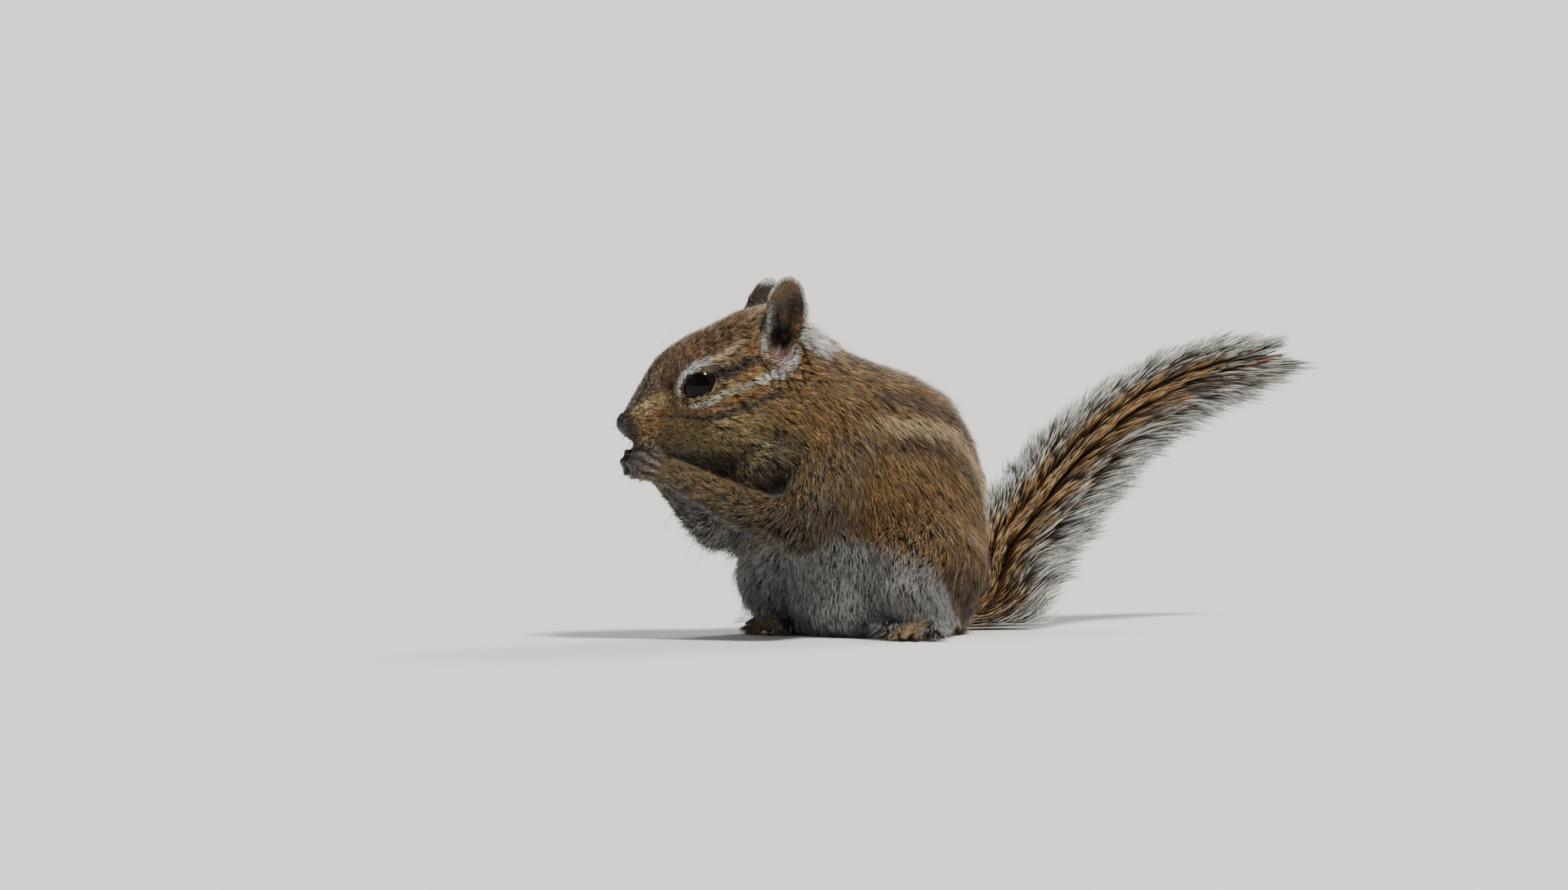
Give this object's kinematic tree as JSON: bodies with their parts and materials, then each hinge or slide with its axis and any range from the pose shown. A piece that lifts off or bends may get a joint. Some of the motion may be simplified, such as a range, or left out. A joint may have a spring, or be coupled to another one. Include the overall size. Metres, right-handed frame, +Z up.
{
  "type": "chipmunk",
  "caption": "Still life-size model of a striped chipmunk sitting on its haunches, both forepaws at its mouth and its bushy tail swept up behind it.",
  "frame": {"origin": "on the floor, inside the flat under the rump", "axes": "+Z up, the head points to -X and turns a little towards -Y, the tail sweeps back to +X and +Y"},
  "size_m": [0.14, 0.1069, 0.0732],
  "materials": {
    "body_fur": "short dense fur in brown, ochre and cream stripes",
    "face_fur": "very short fur with dark and white face stripes",
    "limb_fur": "short ochre fur",
    "tail_fur": "long frosted hair in flat locks",
    "paw_skin": "thin grey-pink hair over bare skin",
    "ear_skin": "thin bare skin with downy hair",
    "eye": "wet black gloss"
  },
  "bodies": {
    "root": {"head": "face_fur", "neck": "body_fur", "torso": "body_fur", "eye_left": "eye", "eye_right": "eye", "ear_left": "ear_skin", "ear_right": "ear_skin", "upper_arm_left": "body_fur", "upper_arm_right": "body_fur", "forearm_left": "limb_fur", "forearm_right": "limb_fur", "hand_left": "paw_skin", "hand_right": "paw_skin", "thigh_left": "body_fur", "thigh_right": "body_fur", "shin_left": "limb_fur", "shin_right": "limb_fur", "foot_left": "paw_skin", "foot_right": "paw_skin", "tail_root": "tail_fur", "tail_middle": "tail_fur", "tail_end": "tail_fur"}
  },
  "joints": []
}
